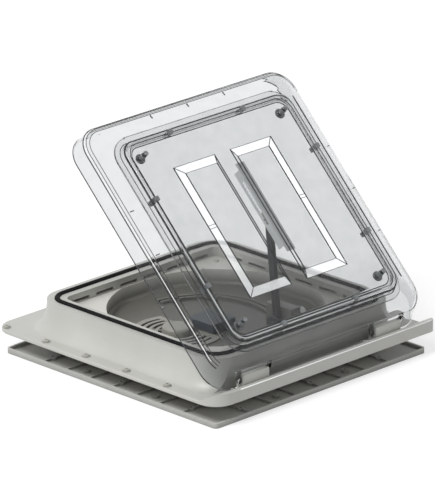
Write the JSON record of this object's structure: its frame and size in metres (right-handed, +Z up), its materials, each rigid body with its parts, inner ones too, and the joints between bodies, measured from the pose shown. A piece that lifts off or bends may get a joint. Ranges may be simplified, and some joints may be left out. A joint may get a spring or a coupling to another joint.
{
  "type": "caravan roof vent",
  "caption": "Square caravan roof vent: flanged base with seal, tinted hinged dome lifted by a geared arm, small fan in a round bowl, inner frame with fly screen.",
  "frame": {"origin": "centre of the roof cut-out, on the roof's outer surface (the underside of the base flange)", "axes": "+Z up out of the roof, +X along the dome hinge, +Y from the hinge towards the dome's free edge"},
  "size_m": [0.522, 0.531, 0.427],
  "materials": {
    "roof_white": "moulded ASA, satin, weathered off-white",
    "ceiling_white": "moulded ABS, fine texture, off-white",
    "seal_rubber": "extruded EPDM, black",
    "zinc_screw": "zinc-plated steel",
    "steel_shaft": "ground steel",
    "liner_cream": "moulded ABS, satin",
    "guard_cream": "moulded ABS, satin",
    "duct_grey": "moulded polypropylene",
    "motor_dark": "black painted steel can",
    "motor_can": "drawn steel can",
    "control_blue": "moulded ABS, blue-grey",
    "drive_grey": "glass-filled nylon, dark grey",
    "screen_black": "coated glass-fibre net",
    "latch_white": "moulded acetal, off-white",
    "fan_white": "moulded polypropylene",
    "gear_nylon": "moulded nylon, natural",
    "arm_grey": "glass-filled nylon, dark grey",
    "dome_tint": "moulded acrylic, light smoke tint",
    "pane_clear": "thermoformed acrylic, clear",
    "stud_grey": "moulded nylon, grey",
    "rail_grey": "moulded nylon, grey",
    "bracket_dark": "glass-filled nylon, black"
  },
  "bodies": {
    "base": {"base_frame": "roof_white", "rim_seal": "seal_rubber", "flange_screws": "zinc_screw", "hinge_block_left": "roof_white", "hinge_block_right": "roof_white", "hinge_block_screws": "zinc_screw", "hinge_pin_left": "steel_shaft", "hinge_pin_right": "steel_shaft", "bowl_liner": "liner_cream", "liner_screws": "zinc_screw", "fan_guard": "guard_cream", "guard_screws": "zinc_screw", "fan_shroud": "duct_grey", "fan_motor": "motor_dark", "motor_cowl": "liner_cream", "control_box": "control_blue", "control_lid": "control_blue", "gear_housing": "drive_grey", "gear_cover": "drive_grey", "cover_screws": "zinc_screw", "lift_motor": "motor_can", "shaft_bracket": "drive_grey", "inner_frame": "ceiling_white", "clamp_screws": "zinc_screw", "screen_frame": "ceiling_white", "fly_screen": "screen_black", "latch_posts": "latch_white"},
    "fan": {"fan_impeller": "fan_white", "fan_shaft": "steel_shaft"},
    "dome": {"outer_dome": "dome_tint", "inner_pane": "pane_clear", "dome_posts": "stud_grey", "dome_bolts": "zinc_screw", "pane_studs": "stud_grey", "slide_rail": "rail_grey", "rail_screws": "zinc_screw", "hinge_bracket_left": "bracket_dark", "hinge_bracket_right": "bracket_dark"},
    "arm": {"lift_arm": "arm_grey", "arm_shaft": "steel_shaft", "drive_gear": "gear_nylon"},
    "shoe": {"slide_shoe": "gear_nylon", "shoe_pin": "steel_shaft"},
    "pinion": {"motor_pinion": "gear_nylon", "pinion_shaft": "steel_shaft"},
    "latch_left": {"screen_latch_left": "latch_white"},
    "latch_right": {"screen_latch_right": "latch_white"}
  },
  "joints": [
    {"name": "dome_hinge", "type": "hinge", "parent": "base", "child": "dome", "pos_m": [0, -0.241, 0.027], "axis": [1, 0, 0], "range_deg": [-45.2, 0]},
    {"name": "arm_hinge", "type": "hinge", "parent": "base", "child": "arm", "pos_m": [0.0245, -0.1195, 0.04], "axis": [1, 0, 0], "range_deg": [-76.7, 0]},
    {"name": "shoe_hinge", "type": "hinge", "parent": "arm", "child": "shoe", "pos_m": [0.0245, -0.09834, 0.21821], "axis": [1, 0, 0], "range_deg": [0, 31.5]},
    {"name": "pinion_spin", "type": "hinge", "parent": "base", "child": "pinion", "pos_m": [0.04, -0.09642, 0.0275], "axis": [1, 0, 0], "range_deg": [0, 245.5]},
    {"name": "fan_spin", "type": "hinge", "parent": "base", "child": "fan", "pos_m": [-0.079, 0.013, 0], "axis": [0, 0, 1], "continuous": true},
    {"name": "screen_latch_left_turn", "type": "hinge", "parent": "base", "child": "latch_left", "pos_m": [-0.184, 0, -0.0297], "axis": [0, 0, 1], "range_deg": [0, 90]},
    {"name": "screen_latch_right_turn", "type": "hinge", "parent": "base", "child": "latch_right", "pos_m": [0.184, 0, -0.0297], "axis": [0, 0, 1], "range_deg": [-90, 0]}
  ],
  "couplings": [
    {"joint": "arm_hinge", "follows": "dome_hinge", "ratio": 1.696},
    {"joint": "shoe_hinge", "follows": "dome_hinge", "ratio": -0.696},
    {"joint": "pinion_spin", "follows": "dome_hinge", "ratio": -5.4272}
  ]
}
